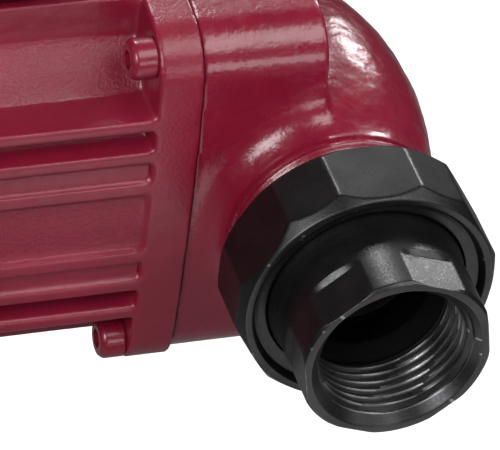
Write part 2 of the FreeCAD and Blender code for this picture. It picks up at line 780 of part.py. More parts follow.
def stator_core():
    end = f"size.stator_start + {STATOR_LENGTH}"
    return ring("stator_core", "size.can_radius + size.stator_gap", "size.bore_radius",
                "size.stator_start", end, "-X", MOTOR)


def stator_coils():
    """The end turns of the windings, a rounded ring at each end of the core."""
    end = f"size.stator_start + {STATOR_LENGTH}"
    starts = ("size.stator_start - size.coil_length", end)
    rings = []
    for index, start in enumerate(starts):
        stop = "%s + size.coil_length" % start
        rings.append(turned("coil_ring_%d" % index, [
            (COIL_INNER, start + " + size.coil_bevel"), (f"{COIL_INNER} + size.coil_bevel", start),
            (f"{COIL_OUTER} - size.coil_bevel", start), (COIL_OUTER, start + " + size.coil_bevel"),
            (COIL_OUTER, stop + " - size.coil_bevel"), (f"{COIL_OUTER} - size.coil_bevel", stop),
            (f"{COIL_INNER} + size.coil_bevel", stop),
            (COIL_INNER, stop + " - size.coil_bevel")], "-X", MOTOR))
    return group("stator_coils", rings)


def rating_plate():
    return ring("rating_plate", PLATE_INNER, PLATE_OUTER, "size.motor_length",
                "size.motor_length + size.plate_thick", "-X", MOTOR)


# ---- rotor and impeller ------------------------------------------------------------------

def shaft():
    start = SHAFT_FRONT
    end = REAR_BEARING + " + size.shaft_reach"
    return turned("shaft", [
        ("0", start), ("size.shaft_radius - size.shaft_bevel", start),
        ("size.shaft_radius", start + " + size.shaft_bevel"),
        ("size.shaft_radius", end + " - size.shaft_bevel"),
        ("size.shaft_radius - size.shaft_bevel", end), ("0", end)], "-X", MOTOR)


def thrust_disc():
    start = BEARING_END + " + size.thrust_gap"
    return ring("thrust_disc", "size.shaft_radius", f"{BEARING} - size.disc_step", start,
                start + " + size.thrust_thick", "-X", MOTOR)


def rotor_core():
    end = f"size.rotor_start + {ROTOR_LENGTH}"
    return ring("rotor_core", "size.shaft_radius", ROTOR, "size.rotor_start",
                end, "-X", MOTOR)


def rotor_sleeve():
    """Thin stainless sleeve closed round the rotor core at both ends."""
    end = f"size.rotor_start + {ROTOR_LENGTH}"
    wall = "size.sleeve_wall"
    outer = f"{ROTOR} + " + wall
    return turned("rotor_sleeve", [
        ("size.shaft_radius", "size.rotor_start - " + wall), (outer, "size.rotor_start - " + wall),
        (outer, end + " + " + wall), ("size.shaft_radius", end + " + " + wall),
        ("size.shaft_radius", end), (ROTOR, end),
        (ROTOR, "size.rotor_start"), ("size.shaft_radius", "size.rotor_start")],
        "-X", MOTOR)


def impeller():
    """Back plate, hub and curved vanes, moulded in one piece."""
    body = new_body("impeller", "-X", MOTOR)
    plate = sketch_on(body, "XZ_Plane")
    boss = IMPELLER_BACK + " + size.hub_boss"
    draw(plate, [
        ("size.shaft_radius", HUB_FRONT), ("size.hub_radius", HUB_FRONT),
        ("size.hub_radius", VANE_BACK), ("size.impeller_radius", VANE_BACK),
        ("size.impeller_radius", IMPELLER_BACK), ("size.hub_radius", IMPELLER_BACK),
        ("size.hub_radius", boss), ("size.shaft_radius", boss)])
    feature(body, "Revolution", plate, ReferenceAxis=(plate, ["V_Axis"]))
    vane = sketch_on(body, "XY_Plane", VANE_FRONT)
    tip = "size.impeller_radius - size.vane_tip_gap - size.vane_lead"
    tip_side = "size.vane_inner * size.vane_sweep"
    draw(vane, [
        ("size.vane_inner", "0", "size.vane_curve"),
        (tip, tip_side),
        (tip + " - size.vane_tip_step", tip_side + " + size.vane_width", "-size.vane_curve"),
        ("size.vane_inner - size.vane_taper", "size.vane_width")])
    pad = feature(body, "Pad", vane, Length="size.vane_height + size.vane_overlap")
    vanes = body.newObject("PartDesign::PolarPattern", "vanes")
    vanes.Originals = [pad]
    vanes.Axis = (vane, ["N_Axis"])
    vanes.Angle = 360
    vanes.setExpression("Occurrences", "size.vane_count")
    body.Tip = vanes
    return body


def impeller_shroud():
    neck = "size.eye_radius + size.eye_wall"
    return turned("impeller_shroud", [
        ("size.eye_radius", VANE_FRONT), ("size.impeller_radius", VANE_FRONT),
        ("size.impeller_radius", SHROUD_FRONT), (neck, SHROUD_FRONT),
        (neck, SHROUD_FRONT + " - size.eye_length"),
        ("size.eye_radius", SHROUD_FRONT + " - size.eye_length")], "-X", MOTOR)


def impeller_lock_ring():
    return ring("impeller_lock_ring", "size.shaft_radius", "size.hub_radius - size.lock_step",
                LOCK_FRONT, HUB_FRONT, "-X", MOTOR)


# ---- vent plug ---------------------------------------------------------------------------

def vent_plug():
    radius = "size.vent_radius - size.vent_play"
    seat = "size.motor_length + size.vent_seal_thick"
    top = seat + " + size.vent_head_height"
    blank = turned("vent_plug_blank", [
        ("0", "size.motor_length - size.vent_thread"),
        (radius + " - size.vent_bevel", "size.motor_length - size.vent_thread"),
        (radius, "size.motor_length - size.vent_thread + size.vent_bevel"), (radius, seat),
        ("size.vent_head_radius", seat), ("size.vent_head_radius", top + " - size.vent_bevel"),
        ("size.vent_head_radius - size.vent_bevel", top), ("0", top)], "-X", MOTOR)
    slot = block("vent_slot", "size.vent_slot_depth * 2", "size.vent_head_radius * 2 + size.overrun",
                 "size.vent_slot_width", ("-size.face_offset - (%s)" % top, "0",
                                          "-size.vent_slot_width / 2"))
    return cut("vent_plug", blank, [slot])


def vent_plug_oring():
    return ring("vent_plug_oring", "size.vent_radius", "size.vent_seal_radius",
                "size.motor_length", "size.motor_length + size.vent_seal_thick", "-X", MOTOR)


# ---- unions ------------------------------------------------------------------------------

def union_gasket(end, axis):
    return ring(end + "_gasket", "size.tail_bore", GASKET, SEAL_FACE,
                COLLAR_BACK, axis)


def tailpiece(end, axis):
    """Female-threaded tail with a collar that the nut pulls in, and six spanner flats."""
    blank = turned(end + "_tail_blank", [
        ("size.tail_bore", COLLAR_BACK), (COLLAR, COLLAR_BACK),
        (COLLAR, LIP_BACK), ("size.tail_radius", LIP_BACK),
        ("size.tail_radius", TAIL_END + " - size.rim_chamfer"),
        ("size.tail_radius - size.rim_chamfer", TAIL_END),
        ("size.thread_radius + size.mouth_chamfer", TAIL_END),
        ("size.thread_radius", TAIL_END + " - size.mouth_chamfer"),
        ("size.thread_radius", TAIL_END + " - size.thread_depth"),
        ("size.tail_bore", TAIL_END + " - size.thread_depth")], axis)
    start = TAIL_END + " - size.flat_length"
    stop = TAIL_END + " + size.overrun"
    sleeve = cylinder(end + "_flat_sleeve", "size.tail_radius + size.overrun", start, stop, axis)
    core = hexagon(end + "_flat_core", FLAT, start + " - size.overrun",
                   stop + " + size.overrun", axis,
                   spin=number("size.flat_turn"))
    return cut(end + "_tailpiece", blank, [cut(end + "_flats", sleeve, [core])])


def union_nut(end, axis):
    """Twelve-sided union nut with turned chamfers and a recessed inward lip."""
    bore = f"{SPIGOT} + size.nut_play"
    blank = turned(end + "_nut_blank", [
        (bore, NUT_BACK), (f"{NUT_RIM} + size.nut_back_rise", NUT_BACK),
        (NUT_CORNER, NUT_BACK + " + size.nut_back_chamfer"),
        (NUT_CORNER, NUT_FACE + " - size.nut_chamfer"),
        (NUT_RIM, NUT_FACE), (NUT_RECESS, NUT_FACE),
        (LIP_OUTER, NUT_FACE + " - size.nut_recess"),
        (LIP, NUT_FACE + " - size.nut_recess"),
        (LIP, LIP_BACK + " + size.nut_clear"), (bore, LIP_BACK + " + size.nut_clear")], axis)
    wide = hexagon(end + "_nut_wide", NUT_WIDE, NUT_BACK + " - size.overrun",
                   NUT_FACE + " + size.overrun", axis)
    narrow = hexagon(end + "_nut_narrow", NUT_NARROW, NUT_BACK + " - size.overrun",
                     NUT_FACE + " + size.overrun", axis, spin=30.0)
    return common(end + "_union_nut", [blank, wide, narrow])


# ---- terminal box ------------------------------------------------------------------------

def terminal_box_base():
    centre = (BOX_X, "0", BOX_Z)
    outer = slab("base_outer", "size.box_length", "size.box_width", "size.box_height",
                 "size.box_corner", centre)
    inner = slab("base_inner", CAVITY_LENGTH, CAVITY_WIDTH, "size.box_height",
                 "size.box_corner - size.box_wall", centre[:2] + (f"{BOX_Z} + size.box_wall",))
    posts = [cylinder("base_post_%d" % index, "size.post_radius", f"{BOX_Z} + size.post_root", BOX_TOP,
                      "+Z", (x, y, "0")) for index, (x, y) in enumerate(POSTS)]
    tray = join("base_tray", [cut("base_shell", outer, [inner])] + posts)
    tools = [cylinder("base_lead_hole", "size.wire_hole", f"{BOX_Z} - size.overrun",
                      FLOOR + " + size.overrun",
                      "+Z", (BOX_X, "0", "0")),
             cylinder("base_gland_hole", "size.gland_radius", WALL_FACE + " - size.box_wall - size.overrun",
                      WALL_FACE + " + size.overrun", "+Y", GLAND)]
    for index, (x, y) in enumerate(POSTS):
        tools.append(cylinder("base_pilot_%d" % index, "size.cover_screw_radius",
                              BOX_TOP + " - size.cover_screw_depth", BOX_TOP + " + size.overrun",
                              "+Z", (x, y, "0")))
    for index, sign in enumerate("-+"):
        spot = (f"{BOX_X} %s size.box_screw_spacing / 2" % sign, "0", "0")
        tools.append(cylinder("base_screw_hole_%d" % index, "size.cover_screw_radius + size.hole_play",
                              f"{BOX_Z} - size.overrun",
                      FLOOR + " + size.overrun", "+Z", spot))
    return cut("terminal_box_base", tray, tools)


def terminal_box_gasket():
    spot = (BOX_X, "0", BOX_TOP)
    outer = slab("seal_outer", "size.box_length", "size.box_width", "size.box_seal",
                 "size.box_corner", spot)
    inner = slab("seal_inner", CAVITY_LENGTH, CAVITY_WIDTH, "size.box_seal + 2 * size.overrun",
                 "size.box_corner - size.box_wall", spot[:2] + (BOX_TOP + " - size.overrun",))
    return cut("terminal_box_gasket", outer, [inner])


def terminal_box_cover():
    outer = slab("cover_outer", "size.box_length", "size.box_width", "size.cover_height",
                 "size.box_corner", (BOX_X, "0", COVER_BASE))
    inner = slab("cover_inner", CAVITY_LENGTH, CAVITY_WIDTH, "size.cover_height",
                 "size.box_corner - size.box_wall",
                 (BOX_X, "0", COVER_BASE + " - size.box_wall"))
    posts = [cylinder("cover_post_%d" % index, "size.post_radius", BOX_TOP,
                      COVER_TOP + " - size.post_root", "+Z", (x, y, "0"))
             for index, (x, y) in enumerate(POSTS)]
    shell = join("cover_shell", [cut("cover_hollow", outer, [inner])] + posts)
    tools = [cylinder("knob_hole", "size.stem_radius + size.stem_play", COVER_BASE,
                      COVER_TOP + " + size.overrun", "+Z", (BOX_X, "0", "0"))]
    for index, (x, y) in enumerate(POSTS):
        tools.append(cylinder("cover_hole_%d" % index, "size.cover_screw_radius + size.hole_play",
                              BOX_TOP + " - size.overrun", COVER_TOP + " + size.overrun", "+Z", (x, y, "0")))
        tools.append(cylinder("cover_sink_%d" % index, "size.cover_screw_head + size.head_play",
                              COVER_TOP + " - size.head_sink", COVER_TOP + " + size.overrun",
                              "+Z", (x, y, "0")))
    return cut("terminal_box_cover", shell, tools)


def cover_screws():
    screws = [screw("cover_screw_%d" % index, "size.cover_screw_head", "size.small_head_height",
                    "size.cover_screw_radius", "size.cover_height + size.cover_screw_depth - size.head_sink",
                    "size.small_socket", "+Z", (x, y, COVER_TOP + " - size.head_sink"))
              for index, (x, y) in enumerate(POSTS)]
    return group("cover_screws", screws)


def box_screws():
    screws = []
    for index, sign in enumerate("-+"):
        spot = (f"{BOX_X} %s size.box_screw_spacing / 2" % sign, "0",
                f"{BOX_Z} + size.box_wall")
        screws.append(screw("box_screw_%d" % index, "size.cover_screw_head", "size.small_head_height",
                            "size.cover_screw_radius", "size.cover_screw_depth", "size.small_socket",
                            "+Z", spot))
    return group("box_screws", screws)


def speed_knob():
    """Round knob with a finger bar, and the stem that turns the switch."""
    base = COVER_TOP + " + size.knob_gap"
    disc_top = base + " + size.knob_height"
    disc = turned("knob_disc", [
        ("0", SWITCH_TOP + " - size.stem_engage"), ("size.stem_radius", SWITCH_TOP + " - size.stem_engage"),
        ("size.stem_radius", base), ("size.knob_radius", base),
        ("size.knob_radius", disc_top + " - size.knob_bevel"),
        ("size.knob_radius - size.knob_bevel", disc_top),
        ("0", disc_top)], "+Z", (BOX_X, "0", "0"))
    grip = block("knob_bar", "(size.knob_radius - size.knob_bar_end) * 2", "size.knob_grip_width",
                 "size.knob_grip", (BOX_X, "0", disc_top + " - size.knob_bar_sink"))
    return join("speed_knob", [disc, grip])


def switch_body():
    frame = block("switch_case", "size.switch_side", "size.switch_side", "size.switch_height",
                  (BOX_X, "0", SWITCH_TOP + " - size.switch_height"))
    hole = cylinder("switch_hole", "size.stem_radius + size.stem_play",
                    SWITCH_TOP + " - size.stem_engage - size.stem_play",
                    SWITCH_TOP + " + size.overrun", "+Z",
                    (BOX_X, "0", "0"))
    return cut("switch_body", frame, [hole])


def capacitor():
    return slab("capacitor", "size.capacitor_length", "size.capacitor_width",
                "size.capacitor_height", "size.capacitor_corner", (BOX_X, "-" + ASIDE, FLOOR))


def terminal_block():
    frame = block("terminal_frame", "size.block_length", "size.block_width",
                  "size.block_height", (BOX_X, ASIDE, FLOOR))
    tools = [cylinder("way_%d" % index, "size.way_radius", FLOOR + " + size.way_floor",
                      FLOOR + " + size.block_height + size.overrun", "+Z",
                      (f"{BOX_X} + {side} size.way_pitch", ASIDE, "0"))
             for index, side in enumerate(WAYS)]
    return cut("terminal_block", frame, tools)


def terminal_screws():
    screws = [cylinder("terminal_screw_%d" % index, "size.way_screw_radius", FLOOR + " + size.way_floor",
                        FLOOR + " + size.way_floor + size.way_screw_length",
                       "+Z", (f"{BOX_X} + {side} size.way_pitch", ASIDE, "0"))
              for index, side in enumerate(WAYS)]
    return group("terminal_screws", screws)


def earth_screw():
    return screw("earth_screw", "size.earth_head", "size.small_head_height",
                 "size.cover_screw_radius", "size.box_wall", "size.small_socket", "+Z",
                 (f"{BOX_X} + size.box_length / 2 - size.earth_end", ASIDE + " - size.earth_side", FLOOR))


def lead_wires():
    """Three insulated leads that rise from the windings into the box."""
    wires = [cylinder("lead_%d" % index, "size.lead_radius", f"{COIL_OUTER} + size.lead_start",
                      FLOOR + " + size.lead_end", "+Z",
                      (f"{BOX_X} + {side} size.lead_pitch", "0", "0"))
             for index, side in enumerate(WAYS)]
    return group("lead_wires", wires)


def cable_gland_body():
    face = WALL_FACE
    hexed = hexagon("gland_hexagon", "size.gland_hex", face, face + " + size.gland_hex_length",
                    "+Y", GLAND)
    thread = cylinder("gland_thread", "size.gland_radius", face + " - size.gland_thread",
                      face, "+Y", GLAND)
    start = face + " + size.gland_hex_length"
    sleeve = cylinder("gland_sleeve", "size.gland_radius - size.gland_thread_play", start,
                      start + " + size.gland_sleeve", "+Y", GLAND)
    shell = join("gland_shell", [hexed, thread, sleeve])
    seat = cylinder("gland_seat", "size.gland_bush_radius", start + " - size.gland_bush_seat",
                    start + " + size.gland_sleeve + size.overrun", "+Y", GLAND)
    bore = cylinder("gland_bore", "size.gland_bore + size.gland_bore_play",
                    face + " - size.gland_thread - size.overrun",
                    start, "+Y", GLAND)
    return cut("cable_gland_body", shell, [seat, bore])


def gland_locknut():
    inside = WALL_FACE + " - size.box_wall"
    ringed = hexagon("locknut_hexagon", "size.gland_hex", inside + " - size.locknut_thick",
                     inside, "+Y", GLAND)
    hole = cylinder("locknut_hole", "size.gland_radius", inside + " - size.locknut_thick - size.overrun",
                    inside + " + size.overrun",
                    "+Y", GLAND)
    return cut("gland_locknut", ringed, [hole])


def gland_bush():
    start = WALL_FACE + " + size.gland_hex_length - size.gland_bush_seat"
    return ring("gland_bush", "size.gland_bore", "size.gland_bush_radius", start,
                WALL_FACE + " + size.gland_hex_length + size.gland_sleeve", "+Y", GLAND)


def gland_nut():
    start = WALL_FACE + " + size.gland_hex_length + size.gland_nut_gap"
    stop = start + " + size.gland_nut_length"
    inner = "size.gland_radius - size.gland_thread_play"
    step = WALL_FACE + " + size.gland_hex_length + size.gland_sleeve"
    return turned("gland_nut", [
        (inner, start), ("size.gland_nut_radius", start),
        ("size.gland_nut_radius", stop + " - size.gland_nut_slope"),
        ("size.gland_nut_radius - size.gland_nut_bevel", stop),
        ("size.gland_bore + size.gland_mouth_play", stop),
        ("size.gland_bore + size.gland_mouth_play", step), (inner, step)], "+Y", GLAND)


# ---- build, check and write --------------------------------------------------------------

PIECES = [
    volute_casing, wear_ring, casing_gasket, motor_housing, housing_screws, rotor_can,
    can_seal, bearing_plate, front_bearing, rear_bearing, rear_bearing_holder, stator_core,
    stator_coils, rating_plate, shaft, thrust_disc, rotor_core, rotor_sleeve, impeller,
    impeller_shroud, impeller_lock_ring, vent_plug, vent_plug_oring, terminal_box_base,
    terminal_box_gasket, terminal_box_cover, cover_screws, box_screws, speed_knob,
    switch_body, capacitor, terminal_block, terminal_screws, earth_screw, lead_wires,
    cable_gland_body, gland_locknut, gland_bush, gland_nut,
]
for make in PIECES:
    named(make(), make.__name__)
for end, axis in (("front", "-Y"), ("rear", "+Y")):
    named(union_gasket(end, axis), end + "_union_gasket")
    named(tailpiece(end, axis), end + "_tailpiece")
    named(union_nut(end, axis), end + "_union_nut")

doc.recompute()
for item in doc.Objects:
    if "Invalid" in item.State or "Error" in item.State:
        raise RuntimeError("%s did not build: %s" % (item.Name, item.State))
for node in nodes:
    if node.Shape.isNull() or not node.Shape.isValid() or not node.Shape.Solids:
        raise RuntimeError(node.Label + " is not a sound solid")

os.makedirs("parts", exist_ok=True)
for node in nodes:
    node.Shape.exportStep(os.path.join("parts", node.Label + ".step"))
print("wrote %d pieces" % len(nodes))
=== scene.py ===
"""The looks of a burgundy in-line circulator pump with black unions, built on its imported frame.

Shapes are worked out in millimetres, in the frame's own axes: Y along the pipes, -X along the
motor, Z up. They turn into metres when a mesh is made.
"""
import json
import math
import bpy
import bmesh
import numpy as np
from mathutils import Matrix, Vector


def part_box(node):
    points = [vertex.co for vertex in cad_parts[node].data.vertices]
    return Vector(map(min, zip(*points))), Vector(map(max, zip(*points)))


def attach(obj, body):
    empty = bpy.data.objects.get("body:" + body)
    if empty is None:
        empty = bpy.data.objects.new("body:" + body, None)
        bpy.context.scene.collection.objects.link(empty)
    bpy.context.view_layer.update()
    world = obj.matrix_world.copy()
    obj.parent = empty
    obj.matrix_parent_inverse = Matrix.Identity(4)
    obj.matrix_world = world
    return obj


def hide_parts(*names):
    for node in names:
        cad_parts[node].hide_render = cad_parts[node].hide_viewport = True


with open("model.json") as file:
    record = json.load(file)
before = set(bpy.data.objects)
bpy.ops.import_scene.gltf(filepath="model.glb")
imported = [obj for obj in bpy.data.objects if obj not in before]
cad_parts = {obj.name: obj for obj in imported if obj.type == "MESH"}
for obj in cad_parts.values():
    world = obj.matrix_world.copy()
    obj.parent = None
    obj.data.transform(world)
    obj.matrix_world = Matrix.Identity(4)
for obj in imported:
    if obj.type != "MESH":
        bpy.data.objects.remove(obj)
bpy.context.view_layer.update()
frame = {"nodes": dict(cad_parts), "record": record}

MM = 0.001
PITCH = 25.4 / 11    # of the tails' pipe thread, 11 turns an inch
BARREL = 44.7        # from the motor's axis to the barrel between the fins
TAIL_BORE = 17.4     # the tail's mouth is wider than this, and its bore narrower
# past this depth the tail's bore is painted near-black as shade
TAIL_DEEP = 79.7     # from the motor's axis to the dark end of the tail's bore
GRID = 0.62          # the side of a casting's small faces


def extent(node):
    """Lowest and highest corner of a CAD node, in millimetres."""
    low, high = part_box(node)
    return np.array(low) / MM, np.array(high) / MM


# ---- materials ---------------------------------------------------------------------------

def linear(code):
    """An sRGB hex colour as linear red, green, blue and alpha."""
    parts = [int(code[i:i + 2], 16) / 255 for i in (1, 3, 5)]
    return [c / 12.92 if c <= 0.04045 else ((c + 0.055) / 1.055) ** 2.4 for c in parts] + [1.0]


def add(tree, kind, inputs=(), **settings):
    """Add a shader node: settings are its properties, inputs pairs of a socket and a value or link."""
    item = tree.nodes.new("ShaderNode" + kind)
    for name, value in settings.items():
        setattr(item, name, value)
    for socket, value in inputs:
        if isinstance(value, bpy.types.NodeSocket):
            tree.links.new(value, item.inputs[socket])
        else:
            item.inputs[socket].default_value = value
    return item


def new_material(name):
    """A material with only a surface shader, and its position in millimetres."""
    made = bpy.data.materials.new(name)
    made.use_nodes = True
    tree = made.node_tree
    tree.nodes.clear()
    shader = add(tree, "BsdfPrincipled")
    add(tree, "OutputMaterial", [("Surface", shader.outputs[0])])
    where = add(tree, "TexCoord").outputs["Object"]
    metric = add(tree, "VectorMath", [(0, where), (1, (1 / MM,) * 3)], operation="MULTIPLY")
    return made, tree, shader, metric.outputs[0]


def noise(tree, where, grain, detail=3.0, rough=0.55):
    """Noise whose blobs are about grain millimetres across."""
    return add(tree, "TexNoise", [("Vector", where), ("Scale", 1.0 / grain), ("Detail", detail),
                                  ("Roughness", rough)]).outputs["Fac"]


def ramp(tree, value, low, high, start=0.0, end=1.0):
    """Spread low..high of a value over start..end."""
    return add(tree, "MapRange", [("Value", value), ("From Min", low), ("From Max", high),
                                  ("To Min", start), ("To Max", end)]).outputs[0]


def blend(tree, share, first, second):
    """Mix two colours."""
    return add(tree, "Mix", [(0, share), (6, first), (7, second)], data_type="RGBA").outputs[2]


def bump(tree, height, depth, below=None):
    """Relief of so many millimetres, over an earlier relief."""
    inputs = [("Strength", 1.0), ("Distance", depth * MM), ("Height", height)]
    if below is not None:
        inputs.append(("Normal", below))
    return add(tree, "Bump", inputs).outputs[0]


def put(tree, shader, **values):
    """Set the shader's sockets by name, with _ for each space."""
    for name, value in values.items():
        socket = shader.inputs[name.replace("_", " ")]
        if isinstance(value, bpy.types.NodeSocket):
            tree.links.new(value, socket)
        else:
            socket.default_value = value


def enamel(name, peel, cast, cast_grain, gloss, low, high, barrel=False):
    """Stoved gloss enamel, a little uneven in tone, over a cast surface. With barrel, the grain is
    strong only below the fins' tops."""
    made, tree, shader, where = new_material(name)
    cloud = ramp(tree, noise(tree, where, 22.0, 4.0), 0.35, 0.65)
    tone = blend(tree, cloud, linear("#7C102A"), linear("#881632"))
    edge = add(tree, "NewGeometry").outputs["Pointiness"]
    # convex edges are lightened to a pinker red: a painted highlight along the sharp edges
    painted_edge_highlight = ramp(tree, edge, 0.54, 0.66, 0.0, 0.35)
    tone = blend(tree, painted_edge_highlight, tone, linear("#A03A55"))
    # hollows and inside corners are darkened: painted shade
    painted_hollow_shade = ramp(tree, edge, 0.49, 0.42, 0.0, 0.5)
    tone = blend(tree, painted_hollow_shade, tone, linear("#560A1A"))
    sheen = ramp(tree, noise(tree, where, 3.0), 0.3, 0.7, low, high)
    grain = noise(tree, where, cast_grain, 4.0, 0.6)
    if barrel:
        side = add(tree, "VectorMath", [(0, where), (1, (0, 1, 1))], operation="MULTIPLY")
        radius = add(tree, "VectorMath", [(0, side.outputs[0])], operation="LENGTH")
        inner = ramp(tree, radius.outputs["Value"], BARREL + 0.6, BARREL + 0.2, 0.25, 1.0)
        grain = add(tree, "Math", [(0, grain), (1, inner)], operation="MULTIPLY").outputs[0]
    skin = bump(tree, grain, cast)
    skin = bump(tree, noise(tree, where, 1.1, 2.0), peel, skin)
    put(tree, shader, Base_Color=tone, Roughness=sheen, Normal=skin,
        Coat_Weight=gloss, Coat_Roughness=0.07, Coat_Normal=skin)
    return made


def black_union():
    """Machined malleable iron under a thin black oxide coat: fine tool marks, brighter edges."""
    made, tree, shader, where = new_material("black_oxide_on_machined_iron")
    axes = add(tree, "SeparateXYZ", [(0, where)])
    flat = add(tree, "CombineXYZ", [(0, axes.outputs[0]), (2, axes.outputs[2])])
    radius = add(tree, "VectorMath", [(0, flat.outputs[0])], operation="LENGTH").outputs["Value"]
    ring = add(tree, "CombineXYZ", [(0, radius), (1, axes.outputs[1])]).outputs[0]
    marks = add(tree, "TexNoise", [("Vector", ring), ("Scale", 5.0), ("Detail", 2.0)],
                noise_dimensions="2D").outputs["Fac"]
    grit = noise(tree, where, 0.5, 3.0)
    blot = ramp(tree, noise(tree, where, 9.0, 4.0), 0.35, 0.7)
    tone = blend(tree, blot, linear("#333334"), linear("#3F3F40"))
    edge = add(tree, "NewGeometry").outputs["Pointiness"]
    # edges lighter grey: partly oxide rubbed through to bare iron, partly a painted highlight
    tone = blend(tree, ramp(tree, edge, 0.515, 0.57, 0.0, 0.8), tone, linear("#8C8C8F"))
    sheen = ramp(tree, grit, 0.3, 0.7, 0.26, 0.40)
    skin = bump(tree, marks, 0.012)
    skin = bump(tree, grit, 0.010, skin)
    # past TAIL_DEEP the tail's bore is made near-black, matt and non-metallic: painted shade deep in
    # the hole
    along = add(tree, "Math", [(0, axes.outputs[1])], operation="ABSOLUTE").outputs[0]
    painted_bore_shade = add(tree, "Math", [(0, ramp(tree, radius, TAIL_BORE + 0.2, TAIL_BORE - 0.2)),
                              (1, ramp(tree, along, TAIL_DEEP + 0.7, TAIL_DEEP - 0.7))],
               operation="MULTIPLY").outputs[0]
    tone = blend(tree, painted_bore_shade, tone, linear("#0C0C0D"))
    sheen = ramp(tree, painted_bore_shade, 0.0, 1.0, sheen, 0.8)
    put(tree, shader, Base_Color=tone, Metallic=ramp(tree, painted_bore_shade, 0.0, 1.0, 0.85, 0.0),
        Roughness=sheen, Normal=skin, Specular_IOR_Level=ramp(tree, painted_bore_shade, 0.0, 1.0, 0.5, 0.15))
    return made


def metal(name, light, dark, low, high, grain, along=None):
    """Bare metal; along stretches its grain down that axis, as drawing or rolling does."""
    made, tree, shader, where = new_material(name)
    if along is not None:
        stretch = [1.0, 1.0, 1.0]
        stretch[along] = 0.04
        where = add(tree, "VectorMath", [(0, where), (1, stretch)], operation="MULTIPLY").outputs[0]
    grit = noise(tree, where, grain, 4.0)
    tone = blend(tree, ramp(tree, grit, 0.35, 0.65), linear(dark), linear(light))
    put(tree, shader, Base_Color=tone, Metallic=1.0, Normal=bump(tree, grit, 0.008),
        Roughness=ramp(tree, grit, 0.3, 0.7, low, high))
    return made


def moulded(name, light, dark, low, high, grain, relief, gloss=0.0):
    """Plastic, rubber or fibre from a mould, with the mould's spark or matt texture."""
    made, tree, shader, where = new_material(name)
    cloud = noise(tree, where, 14.0, 3.0)
    spark = noise(tree, where, grain, 2.0)
    tone = blend(tree, ramp(tree, cloud, 0.3, 0.7), linear(dark), linear(light))
    put(tree, shader, Base_Color=tone, Normal=bump(tree, spark, relief), Coat_Weight=gloss,
        Roughness=ramp(tree, spark, 0.3, 0.7, low, high))
    return made


def layered(name, light, dark, axis, pitch, metallic, low, high):
    """A stack or winding: thin layers across one axis."""
    made, tree, shader, where = new_material(name)
    side = add(tree, "SeparateXYZ", [(0, where)]).outputs[axis]
    wave = add(tree, "Math", [(0, side), (1, 2 * math.pi / pitch)], operation="MULTIPLY")
    wave = add(tree, "Math", [(0, wave.outputs[0])], operation="SINE").outputs[0]
    grit = noise(tree, where, 1.5)
    tone = blend(tree, ramp(tree, wave, -1.0, 1.0), linear(dark), linear(light))
    tone = blend(tree, ramp(tree, grit, 0.4, 0.8, 0.0, 0.5), tone, linear(dark))
    put(tree, shader, Base_Color=tone, Metallic=metallic, Normal=bump(tree, wave, 0.05),
        Roughness=ramp(tree, grit, 0.3, 0.7, low, high))
    return made


FINISHES = {
    # rough sand-cast iron under brushed and stoved enamel
    "red_enamel_iron": enamel("burgundy_enamel_on_sand_cast_iron", 0.020, 0.10, 1.5,
                               0.45, 0.22, 0.32),
    # smoother gravity-cast aluminium under the same enamel
    "red_enamel_aluminium": enamel("burgundy_enamel_on_cast_aluminium", 0.022, 0.30, 0.85,
                                    0.25, 0.32, 0.46, barrel=True),
    # screw heads painted over together with the housing
    "red_enamel_steel": enamel("burgundy_enamel_on_steel_screws", 0.02, 0.03, 0.9,
                                0.35, 0.26, 0.36),
    "black_union": black_union(),
    # sheet and bar that were drawn, so the grain runs along the motor
    "stainless": metal("drawn_stainless_steel", "#C9CACB", "#A9AAAC", 0.18, 0.32, 0.6, 0),
    "zinc_steel": metal("zinc_plated_steel", "#C2C5C8", "#9FA3A6", 0.28, 0.42, 0.9),
    "vent_brass": metal("nickel_plated_turned_brass", "#D2D0CA", "#B9B6AE", 0.12, 0.24, 0.7),
    # rolled sheet, its grain running up and down
    "plate_aluminium": metal("brushed_aluminium_sheet", "#CFD0D2", "#B4B6B8", 0.25, 0.42, 0.35, 2),
    "lamination_steel": layered("stacked_steel_laminations", "#8A8A8E", "#55555A", 0, 0.6, 1.0,
                                0.35, 0.5),
    "copper_winding": layered("enamelled_copper_winding", "#B4632E", "#7A3A16", 0, 0.9, 1.0,
                              0.25, 0.4),
    "seal_rubber": moulded("moulded_black_rubber", "#1B1B1C", "#121213", 0.55, 0.7, 0.5, 0.01),
    "fibre_gasket": moulded("pressed_fibre_gasket", "#5C6B64", "#47534E", 0.7, 0.85, 0.4, 0.03),
    "bearing_carbon": moulded("sintered_carbon_graphite", "#2E2E31", "#232326", 0.35, 0.5, 0.3,
                              0.006),
    "ceramic": moulded("ground_alumina_ceramic", "#EDE9DD", "#E0DBCB", 0.2, 0.3, 0.4, 0.003, 0.3),
    "impeller_plastic": moulded("glass_filled_moulded_plastic", "#35322F", "#292624", 0.4, 0.55,
                                0.5, 0.01),
    "box_plastic": moulded("spark_textured_moulded_plastic", "#232325", "#19191B", 0.42, 0.58,
                           0.35, 0.02),
    "knob_plastic": moulded("moulded_grey_plastic", "#A9A69F", "#9B9891", 0.35, 0.5, 0.4, 0.01),
    "capacitor_case": moulded("moulded_white_plastic", "#E2E1DC", "#D6D5CF", 0.3, 0.4, 0.6, 0.005),
    "terminal_plastic": moulded("moulded_polyamide_block", "#DAD7CB", "#CCC8BA", 0.4, 0.5, 0.4,
                                0.01),
    "wire_insulation": moulded("extruded_wire_insulation", "#24307A", "#1C2663", 0.3, 0.4, 0.8,
                               0.004, 0.2),
    "gland_plastic": moulded("moulded_black_polyamide", "#2A2A2C", "#1F1F21", 0.35, 0.5, 0.4,
                             0.01),
}
SLOTS = {item["node"]: item["material_slot"] for item in frame["record"]["subparts"]}
